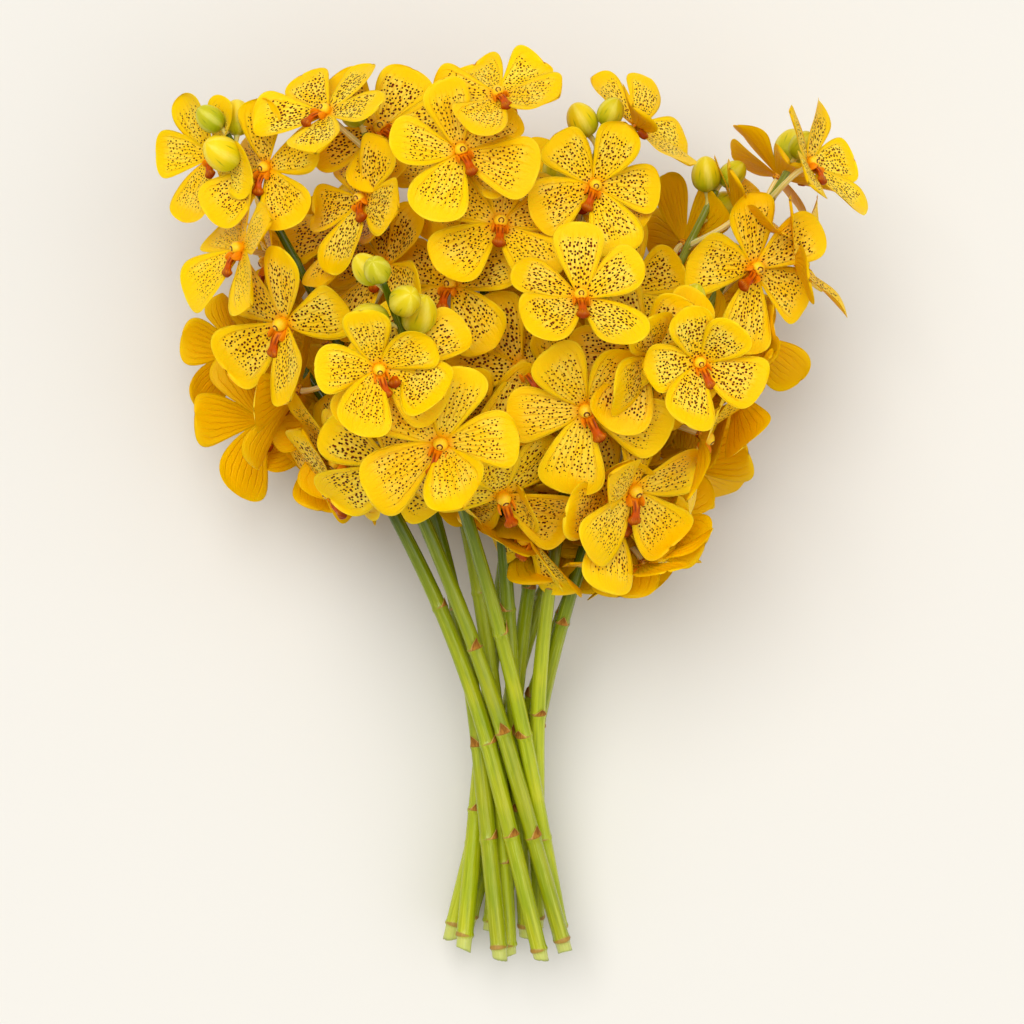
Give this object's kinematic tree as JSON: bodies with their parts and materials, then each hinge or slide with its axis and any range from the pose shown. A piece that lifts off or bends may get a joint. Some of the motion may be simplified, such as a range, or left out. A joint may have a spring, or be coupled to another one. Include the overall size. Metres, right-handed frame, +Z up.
{
  "type": "bunch of cut orchids",
  "caption": "Bunch of cut spotted orchids lying on a surface: spiralled green stems that fan out to a broad head of yellow flowers and buds.",
  "frame": {"origin": "centre of the bounding box's underside, on the surface that the bunch lies on", "axes": "+X across the bunch, +Y from the cut ends of the stems towards the flowers, +Z up from the surface"},
  "size_m": [0.3123, 0.4005, 0.185],
  "materials": {
    "petals": "satin",
    "stems": "satin"
  },
  "bodies": {
    "root": {"flower_01_1": "petals", "flower_01_2": "petals", "flower_01_4": "petals", "flower_01_5": "petals", "flower_01_6": "petals", "flower_02_1": "petals", "flower_02_2": "petals", "flower_02_3": "petals", "flower_02_5": "petals", "flower_03_3": "petals", "flower_03_4": "petals", "flower_03_6": "petals", "flower_03_7": "petals", "flower_03_8": "petals", "flower_04_1": "petals", "flower_04_2": "petals", "flower_04_3": "petals", "flower_04_5": "petals", "flower_05_1": "petals", "flower_05_3": "petals", "flower_05_5": "petals", "flower_05_6": "petals", "flower_06_1": "petals", "flower_06_2": "petals", "flower_06_5": "petals", "flower_06_7": "petals", "flower_06_8": "petals", "flower_07_1": "petals", "flower_07_7": "petals", "flower_08_1": "petals", "flower_08_10": "petals", "flower_08_2": "petals", "flower_08_3": "petals", "flower_08_5": "petals", "flower_08_6": "petals", "flower_08_8": "petals", "flower_08_9": "petals", "flower_09_1": "petals", "flower_09_3": "petals", "flower_09_4": "petals", "flower_09_5": "petals", "flower_09_6": "petals", "flower_10_10": "petals", "flower_10_9": "petals", "flower_11_8": "petals", "flower_11_9": "petals", "flower_12_8": "petals", "flower_12_9": "petals", "stem_01": "stems", "stem_02": "stems", "stem_03": "stems", "stem_04": "stems", "stem_05": "stems", "stem_06": "stems", "stem_07": "stems", "stem_08": "stems", "stem_09": "stems", "stem_10": "stems", "stem_11": "stems", "stem_12": "stems"}
  },
  "joints": []
}
